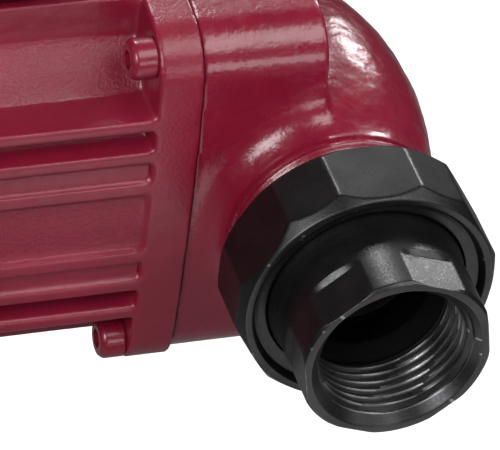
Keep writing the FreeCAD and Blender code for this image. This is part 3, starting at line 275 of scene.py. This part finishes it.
BODY_OF = {node: body for body, held in frame["record"]["behaviour"]["bodies"].items()
           for node in held}

# every node starts with the finish of its slot; some are replaced further down
for node, thing in frame["nodes"].items():
    thing.data.materials.clear()
    thing.data.materials.append(FINISHES[SLOTS[node]])


# ---- mesh helpers ------------------------------------------------------------------------

def shade(thing, angle):
    """Smooth shading, with edges sharper than the angle kept."""
    thing.data.shade_smooth()
    mesh = bmesh.new()
    mesh.from_mesh(thing.data)
    for edge in mesh.edges:
        edge.smooth = len(edge.link_faces) != 2 or edge.calc_face_angle() < math.radians(angle)
    mesh.to_mesh(thing.data)
    mesh.free()


def stand_for(thing, node):
    """The thing takes a CAD node's finish and motion, and is shown in its place."""
    thing.data.materials.clear()
    thing.data.materials.append(FINISHES[SLOTS[node]])
    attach(thing, BODY_OF[node])
    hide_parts(node)


def make(name, points, faces):
    """An object from points in millimetres."""
    mesh = bpy.data.meshes.new(name)
    mesh.from_pydata((np.asarray(points) * MM).tolist(), [], faces)
    mesh.validate()
    thing = bpy.data.objects.new(name, mesh)
    bpy.context.scene.collection.objects.link(thing)
    return thing


def eased(outline, radius, step):
    """Round a closed outline's corners by a radius, then divide it into short steps."""
    count = len(outline)
    path = []
    for index in range(count):
        corner = np.array(outline[index], float)
        before = np.array(outline[index - 1], float) - corner
        after = np.array(outline[(index + 1) % count], float) - corner
        reach = min(radius, 0.45 * np.hypot(*before), 0.45 * np.hypot(*after))
        start = corner + before / np.hypot(*before) * reach
        end = corner + after / np.hypot(*after) * reach
        for share in np.linspace(0, 1, 5):
            path.append((1 - share) ** 2 * start + 2 * share * (1 - share) * corner
                        + share ** 2 * end)
    points = []
    for index, here in enumerate(path):
        there = path[(index + 1) % len(path)]
        parts = max(1, int(np.hypot(*(there - here)) / step))
        for share in range(parts):
            points.append(here + (there - here) * share / parts)
    return np.array(points)


WAYS = {"-Y": ((1, 0, 0), (0, 0, 1), (0, -1, 0)), "+Y": ((1, 0, 0), (0, 0, -1), (0, 1, 0)),
        "-X": ((0, 0, 1), (0, 1, 0), (-1, 0, 0))}


def lathe(name, outline, axis, turns=480, shape=None, at=(0, 0, 0)):
    """Turn a closed outline of (radius, height) about an axis; shape may move the radii."""
    across, up, along = (np.array(way, float) for way in WAYS[axis])
    angle = np.linspace(0, 2 * np.pi, turns, endpoint=False)[:, None]
    radius = np.repeat(outline[None, :, 0], turns, axis=0)
    height = np.repeat(outline[None, :, 1], turns, axis=0)
    if shape is not None:
        radius = shape(radius, height, np.repeat(angle, outline.shape[0], axis=1))
    points = (np.array(at, float) + (radius * np.cos(angle))[..., None] * across
              + (radius * np.sin(angle))[..., None] * up + height[..., None] * along)
    count = outline.shape[0]
    first = np.arange(turns)[:, None] * count
    second = (np.arange(turns)[:, None] + 1) % turns * count
    here = np.arange(count)[None, :]
    there = (here + 1) % count
    faces = np.stack([first + here, first + there, second + there, second + here], -1)
    area = np.sum(outline[:, 0] * np.roll(outline[:, 1], -1)
                  - np.roll(outline[:, 0], -1) * outline[:, 1])
    faces = faces.reshape(-1, 4)
    if area > 0:
        faces = faces[:, ::-1]
    return make(name, points.reshape(-1, 3), faces.tolist())


def flats(angle, half, spin):
    """Distance from the axis to a hexagon's side at each angle."""
    turned = np.mod(angle - np.radians(spin) + np.pi / 6, np.pi / 3) - np.pi / 6
    return half / np.cos(turned)


def softer(first, second, soft):
    """The smaller of two, with the meeting rounded off."""
    mix = np.clip(0.5 + 0.5 * (second - first) / soft, 0, 1)
    return second * (1 - mix) + first * mix - soft * mix * (1 - mix)


def ridge(height, angle):
    """0 at a right-hand thread's crest, 1 at its root."""
    phase = np.mod(height / PITCH - angle / (2 * np.pi), 1.0)
    return np.clip(1.16 * (1 - np.abs(2 * phase - 1)) - 0.08, 0, 1)


def lattice(points, grain, seed):
    """Smooth noise from -1 to 1, its blobs about grain across."""
    table = np.random.default_rng(seed).random(4096) * 2 - 1
    scaled = points / grain
    cell = np.floor(scaled).astype(np.int64)
    part = scaled - cell
    part = part * part * (3 - 2 * part)
    total = np.zeros(len(points))
    for corner in range(8):
        step = np.array([corner & 1, corner >> 1 & 1, corner >> 2 & 1])
        spot = cell + step
        key = (spot[:, 0] * 73856093 ^ spot[:, 1] * 19349663 ^ spot[:, 2] * 83492791) % 4096
        weight = np.prod(np.where(step == 1, part, 1 - part), axis=1)
        total += weight * table[key]
    return total


def smoothstep(value, low, high):
    """0 below low, 1 above high, and a smooth rise between them."""
    share = np.clip((value - low) / (high - low), 0, 1)
    return share * share * (3 - 2 * share)


# ---- unions ------------------------------------------------------------------------------

def tailpiece(end, axis):
    """Female-threaded tail: collar, flared neck, six milled flats and a cut pipe thread."""
    low, high = extent(end + "_tailpiece")
    near, far = sorted((abs(low[1]), abs(high[1])))
    throat, crest, undercut, mouth = 13.5, 15.5, 16.3, 18.35
    neck, flat_half = 20.5, 19.5
    collar_end = near + 3.2
    thread_end = far - 16.0
    ledge = far - 9.4
    slope = 1.2
    body = [(throat, near), (22.2, near), (22.2, collar_end), (21.2, collar_end + 0.1),
            (21.1, collar_end + 4.6), (20.75, collar_end + 6.0), (neck, collar_end + 8.0),
            (neck, ledge - slope), (neck, ledge), (neck, far - 0.8), (19.9, far), (mouth, far),
            (16.0, far - 2.6), (crest, far - 3.2), (crest, thread_end),
            (undercut, thread_end - 0.4), (undercut, thread_end - 1.6),
            (throat, thread_end - 4.4)]
    outline = eased(body, 0.20, 0.28)

    def shape(radius, height, angle):
        outside = radius > 19.2
        milled = np.clip((height - ledge + slope) / slope, 0, 1)
        cut = softer(radius, flats(angle, flat_half, 9.5), 0.12)
        radius = np.where(outside, radius * (1 - milled) + cut * milled, radius)
        fade = np.clip((height - thread_end) / 1.5, 0, 1)
        groove = crest - 0.05 + 1.35 * ridge(height, angle) * fade
        threaded = (radius < 18.0) & (height > thread_end)
        radius = np.where(threaded, np.maximum(radius, groove), radius)
        cast = (radius < throat + 0.2) & (height < thread_end - 5.2) & (height > near + 1)
        wall = 14.0
        spots = np.stack([wall * np.cos(angle), height, wall * np.sin(angle)], -1).reshape(-1, 3)
        grain = 0.22 * lattice(spots, 2.2, 11) + 0.14 * lattice(spots, 0.9, 12)
        return radius + np.where(cast, grain.reshape(radius.shape) + 0.3, 0.0)

    thing = lathe(end + "_tail", outline, axis, 600, shape)
    shade(thing, 50)
    stand_for(thing, end + "_tailpiece")


def union_nut(end, axis):
    """Twelve-sided nut with turned chamfers, a recessed face and its own thread."""
    low, high = extent(end + "_union_nut")
    back, front = sorted((abs(low[1]), abs(high[1])))
    rim, hole, crest = 28.3, 21.5, 23.4
    recess = front - 2.3
    lip = recess - 4.0
    body = [(crest, back), (27.1, back), (rim, back + 1.6), (rim, front - 3.1),
            (26.5, front), (25.1, front), (24.4, front - 1.1), (24.3, front - 2.1),
            (23.2, recess), (hole, recess), (hole, lip), (crest, lip)]
    outline = eased(body, 0.30, 0.28)

    def shape(radius, height, angle):
        outer = np.clip((radius - 25.6) / 0.5, 0, 1)
        cut = softer(radius, flats(angle, 26.85, 30.0), 0.22)
        cut = softer(cut, flats(angle, 27.7, 0.0), 0.22)
        shaped = radius * (1 - outer) + cut * outer
        fade = np.clip((lip - 1.0 - height) / 2.0, 0, 1) * np.clip((height - back - 0.4) / 1.5, 0, 1)
        groove = crest + 0.95 * ridge(height, angle) * fade
        threaded = (radius < crest + 0.05) & (height < lip - 0.3)
        return np.where(threaded, np.maximum(shaped, groove), shaped)

    thing = lathe(end + "_nut", outline, axis, 720, shape)
    shade(thing, 55)
    stand_for(thing, end + "_union_nut")


def spigot(end, axis):
    """The casing's outside thread under the nut."""
    face = extent("volute_casing")[1][1]
    start = face - 12.6
    inside, crest = 19.5, 23.05
    body = [(inside, start), (21.9, start), (crest, start + 0.8), (crest, face - 1.2),
            (22.0, face - 0.05), (inside, face - 0.05)]
    outline = eased(body, 0.12, 0.20)

    def shape(radius, height, angle):
        fade = np.clip((height - start - 0.4) / 1.6, 0, 1)
        groove = crest - ridge(height, angle) * fade
        return np.where(radius > 21.7, np.minimum(radius, groove), radius)

    thing = lathe(end + "_spigot_thread", outline, axis, 480, shape)
    shade(thing, 50)
    thing.data.materials.append(FINISHES["red_enamel_iron"])
    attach(thing, "pump")


for end, axis in (("front", "-Y"), ("rear", "+Y")):
    tailpiece(end, axis)
    union_nut(end, axis)
    spigot(end, axis)


# ---- castings ----------------------------------------------------------------------------

def remeshed(node, voxel):
    """A copy of a CAD node on an even grid of small faces."""
    mesh = frame["nodes"][node].data.copy()
    thing = bpy.data.objects.new(node + "_casting", mesh)
    bpy.context.scene.collection.objects.link(thing)
    weld = bmesh.new()
    weld.from_mesh(mesh)
    bmesh.ops.remove_doubles(weld, verts=weld.verts, dist=1e-6)
    weld.to_mesh(mesh)
    weld.free()
    remesh = thing.modifiers.new("grid", "REMESH")
    remesh.mode = "VOXEL"
    remesh.voxel_size = voxel * MM
    remesh.adaptivity = 0.0
    graph = bpy.context.evaluated_depsgraph_get()
    even = bpy.data.meshes.new_from_object(thing.evaluated_get(graph))
    thing.modifiers.clear()
    thing.data = even
    return thing


def read_points(thing):
    """The mesh's points in millimetres."""
    points = np.empty(len(thing.data.vertices) * 3)
    thing.data.vertices.foreach_get("co", points)
    return points.reshape(-1, 3) / MM


def write_points(thing, points):
    """Move the mesh's points, given in millimetres."""
    thing.data.vertices.foreach_set("co", (points * MM).ravel())
    thing.data.update()


def read_normals(thing):
    """The direction out of the surface at each point."""
    normals = np.empty(len(thing.data.vertices) * 3)
    thing.data.vertex_normals.foreach_get("vector", normals)
    return normals.reshape(-1, 3)


def neighbours(thing):
    """The mesh's edges as two arrays of point numbers, and how many edges each point has."""
    pairs = np.empty(len(thing.data.edges) * 2, dtype=np.int64)
    thing.data.edges.foreach_get("vertices", pairs)
    pairs = pairs.reshape(-1, 2)
    count = np.bincount(pairs.ravel(), minlength=len(thing.data.vertices))
    return pairs, np.maximum(count, 1)


def pull(points, pairs, count):
    """How far each point is from the middle of its neighbours."""
    total = np.zeros_like(points)
    for column in range(3):
        total[:, column] = (np.bincount(pairs[:, 0], points[pairs[:, 1], column], len(points))
                            + np.bincount(pairs[:, 1], points[pairs[:, 0], column], len(points)))
    return total / count[:, None] - points


def relax(thing, rounds):
    """Even out the grid's small steps, without shrinking the piece."""
    share = 0.5
    pairs, count = neighbours(thing)
    points = read_points(thing)
    for _ in range(rounds):
        points += share * pull(points, pairs, count)
        points -= (share + 0.02) * pull(points, pairs, count)
    write_points(thing, points)


def fill_corners(thing, rounds, share):
    """Build up metal in the inside corners, as a casting's fillets do. The share is per point."""
    pairs, count = neighbours(thing)
    points = read_points(thing)
    for step in range(rounds):
        if step % 10 == 0:
            write_points(thing, points)
            normals = read_normals(thing)
        rise = np.sum(pull(points, pairs, count) * normals, axis=1)
        points += (share * np.clip(rise, 0, None))[:, None] * normals
    write_points(thing, points)


def casing():
    """The sand-cast casing, its thread spigots turned down under their thread sleeves."""
    neck, bead, spigot_end, turned = 50.5, 51.5, 52.0, 21.2
    joint_face, passage, chamber = -28.0, 18.5, 42
    thing = remeshed("volute_casing", GRID)
    relax(thing, 3)
    points = read_points(thing)
    free = np.where(np.abs(points[:, 1]) > neck, 0.0, 1.0)
    free *= np.where(points[:, 0] < joint_face, 0.0, 1.0)
    fill_corners(thing, 90, 0.9 * free)
    points = read_points(thing)
    normals = read_normals(thing)
    outside = np.hypot(points[:, 0], points[:, 2])

    # only the outside is rough: the passages and the impeller's chamber stay smooth
    bare = (outside > passage) | (points[:, 0] < -3)
    bare &= ~((points[:, 0] < -2.2) & (np.hypot(points[:, 1], points[:, 2]) < chamber))
    rough = 0.55 + 0.45 * smoothstep(-points[:, 2] + 0.6 * points[:, 0], -14, 10)
    ripple = (0.22 * lattice(points, 5.2, 1) + 0.12 * lattice(points, 2.3, 2)
              + 0.05 * lattice(points, 1.1, 3))
    even = 0.02 * lattice(points, 9.0, 4) + 0.01 * lattice(points, 1.4, 5)
    relief = np.where(points[:, 0] > -1.0, ripple * rough, even) - 0.12
    relief *= bare & (np.abs(points[:, 1]) < bead)
    points += relief[:, None] * normals

    # the thread sleeves cover the spigots, which are turned down to lie under them
    under = (np.abs(points[:, 1]) > spigot_end) & (outside > turned)
    scale = np.where(under, turned / np.maximum(outside, 1), 1.0)
    points[:, 0] *= scale
    points[:, 2] *= scale
    write_points(thing, points)
    shade(thing, 75)
    stand_for(thing, "volute_casing")


def housing():
    """The finned motor housing: soft fillets, fine hammered skin between the fins."""
    inside, pad_top, slot_near, slot_far = 39.6, 51, 10.7, 15.7
    front = extent("motor_housing")[1][0]
    thing = remeshed("motor_housing", GRID)
    relax(thing, 3)
    points = read_points(thing)
    outside = np.hypot(points[:, 1], points[:, 2])
    skin = (outside > inside) & (points[:, 2] < pad_top)
    fill_corners(thing, 26, 0.8 * skin)
    points = read_points(thing)

    # the slots beside the middle panel of each side are nearly full
    for side, along in ((1, 2), (2, 1)):
        offset, proud = np.abs(points[:, along]), np.abs(points[:, side])
        shallow = (offset > slot_near) & (offset < slot_far) & (proud > 40) & (proud < BARREL)
        shallow &= skin & (points[:, 0] < -39.5) & (points[:, 0] > -99.0)
        depth = 0.1 * (BARREL - proud[shallow])
        points[shallow, side] = np.sign(points[shallow, side]) * (BARREL - depth)
    write_points(thing, points)

    normals = read_normals(thing)
    proud = np.maximum(np.abs(points[:, 1]), np.abs(points[:, 2]))
    between = (1 - smoothstep(proud, 44.6, 45.4)) * (points[:, 0] < front - 9.6)
    hammer = 0.03 * lattice(points, 2.6, 6) + 0.04 * lattice(points, 1.3, 7)
    plain = 0.015 * lattice(points, 9.0, 8) + 0.008 * lattice(points, 1.5, 9)
    relief = hammer * between + plain - 0.05
    points += (relief * skin)[:, None] * normals
    write_points(thing, points)
    shade(thing, 75)
    stand_for(thing, "motor_housing")


casing()
housing()


def screw_heads():
    """Four cap screws under the motor's flange, with hexagon sockets and a rolled edge."""
    low, high = extent("housing_screws")
    head_radius, shank, centre = 4.4, 2.1, 0.02
    socket_half, socket_wide = 2.0, 2.31
    top, tip = -low[0], -high[0]
    seat = top - 5.5
    floor_of_socket = top - 3.1
    body = [(centre, floor_of_socket), (1.9, floor_of_socket), (2.05, top - 0.1), (2.6, top),
            (3.6, top), (head_radius, top - 1.0), (head_radius, seat), (shank, seat),
            (shank, tip), (centre, tip)]
    outline = eased(body, 0.45, 0.35)

    def shape(radius, height, angle):
        deep = (radius > 1.5) & (radius < 2.4) & (height > seat + 2.2)
        return np.where(deep, np.minimum(flats(angle, socket_half, 8.0), socket_wide), radius)

    pieces = [lathe("cap_screw", outline, "-X", 72, shape, (0, y, z))
              for y in (low[1] + head_radius, high[1] - head_radius)
              for z in (low[1] + head_radius, high[1] - head_radius)]
    merged = bmesh.new()
    for piece in pieces:
        merged.from_mesh(piece.data)
        bpy.data.objects.remove(piece)
    mesh = bpy.data.meshes.new("cap_screws")
    merged.to_mesh(mesh)
    merged.free()
    thing = bpy.data.objects.new("cap_screws", mesh)
    bpy.context.scene.collection.objects.link(thing)
    shade(thing, 50)
    stand_for(thing, "housing_screws")


screw_heads()


# ---- plain pieces with broken edges ------------------------------------------------------

def eased_copy(node, width):
    """A copy of a CAD node with its flat faces made whole and its sharp edges rounded."""
    mesh = frame["nodes"][node].data.copy()
    thing = bpy.data.objects.new(node + "_eased", mesh)
    bpy.context.scene.collection.objects.link(thing)
    work = bmesh.new()
    work.from_mesh(mesh)
    bmesh.ops.remove_doubles(work, verts=work.verts, dist=1e-6)
    bmesh.ops.dissolve_limit(work, angle_limit=math.radians(1.0), verts=work.verts,
                             edges=work.edges)
    work.to_mesh(mesh)
    work.free()
    bevel = thing.modifiers.new("edges", "BEVEL")
    bevel.width = width * MM
    bevel.segments = 3
    bevel.limit_method = "ANGLE"
    bevel.angle_limit = math.radians(35.0)
    bevel.use_clamp_overlap = True
    graph = bpy.context.evaluated_depsgraph_get()
    made = bpy.data.meshes.new_from_object(thing.evaluated_get(graph))
    thing.modifiers.clear()
    thing.data = made
    shade(thing, 30)
    stand_for(thing, node)


for node, width in (("terminal_box_base", 0.35), ("terminal_box_cover", 0.7),
                    ("speed_knob", 0.5), ("vent_plug", 0.4), ("rating_plate", 0.12),
                    ("gland_nut", 0.4), ("cable_gland_body", 0.35)):
    eased_copy(node, width)


# ---- floor, light and camera -------------------------------------------------------------

def floor():
    """A wide pale sheet well under the pump, which its pipes hold up. It is lit to white from
    behind, as a light table is, and that light is kept off the pump."""
    made, tree, shader, where = new_material("matt_white_paper")
    grain = noise(tree, where, 40.0)
    tone = blend(tree, grain, linear("#8F8F8F"), linear("#959595"))
    seen = add(tree, "LightPath").outputs["Is Camera Ray"]
    put(tree, shader, Base_Color=tone, Roughness=0.9, Emission_Color=linear("#FFFFFF"),
        Emission_Strength=seen)
    wide, level = 6000, -420
    corners = [(-wide, -wide, level), (wide, -wide, level), (wide, wide, level),
               (-wide, wide, level)]
    sheet = make("paper_floor", corners, [(0, 1, 2, 3)])
    sheet.data.materials.append(made)


def softbox(name, place, target, wide, tall, power):
    """A rectangular studio lamp, in millimetres and watts."""
    lamp = bpy.data.lights.new(name, "AREA")
    lamp.shape = "RECTANGLE"
    lamp.size = wide * MM
    lamp.size_y = tall * MM
    lamp.energy = power
    thing = bpy.data.objects.new(name, lamp)
    bpy.context.scene.collection.objects.link(thing)
    place, target = Vector(place) * MM, Vector(target) * MM
    thing.location = place
    thing.rotation_euler = (target - place).to_track_quat("-Z", "Y").to_euler()


def camera():
    """Down on the front union from the motor's side, a little rolled, with a long lens."""
    turn, lift, roll = math.radians(-23.6), math.radians(40.56), math.radians(9.0)
    right = Vector((math.cos(turn), math.sin(turn), 0))
    back = Vector((math.cos(lift) * math.sin(turn), -math.cos(lift) * math.cos(turn),
                   math.sin(lift)))
    up = back.cross(right)
    right, up = (right * math.cos(roll) + up * math.sin(roll),
                 up * math.cos(roll) - right * math.sin(roll))
    aim = Vector((0, -76.7, 0))
    reach, aside, above = 1026.0, 24.593, 15.226    # the view's middle, off the point aimed at
    ahead = up * above - right * aside - back * reach
    ahead.normalize()
    right = ahead.cross(up).normalized()
    up = right.cross(ahead)
    lens = bpy.data.cameras.new("view")
    lens.sensor_width = 36.0
    lens.lens = 360.0
    lens.clip_end = 50.0
    thing = bpy.data.objects.new("view", lens)
    spot = (aim + back * reach) * MM
    thing.matrix_world = Matrix(((right.x, up.x, -ahead.x, spot.x),
                                 (right.y, up.y, -ahead.y, spot.y),
                                 (right.z, up.z, -ahead.z, spot.z), (0, 0, 0, 1)))
    bpy.context.scene.collection.objects.link(thing)
    bpy.context.scene.camera = thing


def studio():
    """A faint even glow all round, so that no side is quite black."""
    world = bpy.data.worlds.new("studio")
    world.use_nodes = True
    world.node_tree.nodes["Background"].inputs[0].default_value = linear("#FFFFFF")
    world.node_tree.nodes["Background"].inputs[1].default_value = 0.05
    bpy.context.scene.world = world
    bpy.context.scene.view_settings.view_transform = "Standard"


floor()
softbox("front_top", (250, -360, 700), (-20, -40, 0), 560, 380, 2.9)
softbox("key", (-680, -610, 600), (0, -40, 0), 480, 480, 7.0)
softbox("right_top", (650, -330, 520), (0, -60, 0), 420, 380, 1.3)
softbox("behind", (260, 660, 560), (0, 0, 0), 800, 420, 0.8)
softbox("behind_middle", (70, 640, 650), (0, -60, 0), 170, 220, 2.0)
softbox("behind_right", (570, 600, 330), (0, -60, 0), 180, 180, 1.9)
softbox("front", (280, -860, 200), (0, -60, 0), 420, 220, 1.1)
softbox("front_card", (45, -180, -44), (45, -180, 600), 220, 170, 0.10)
camera()
studio()
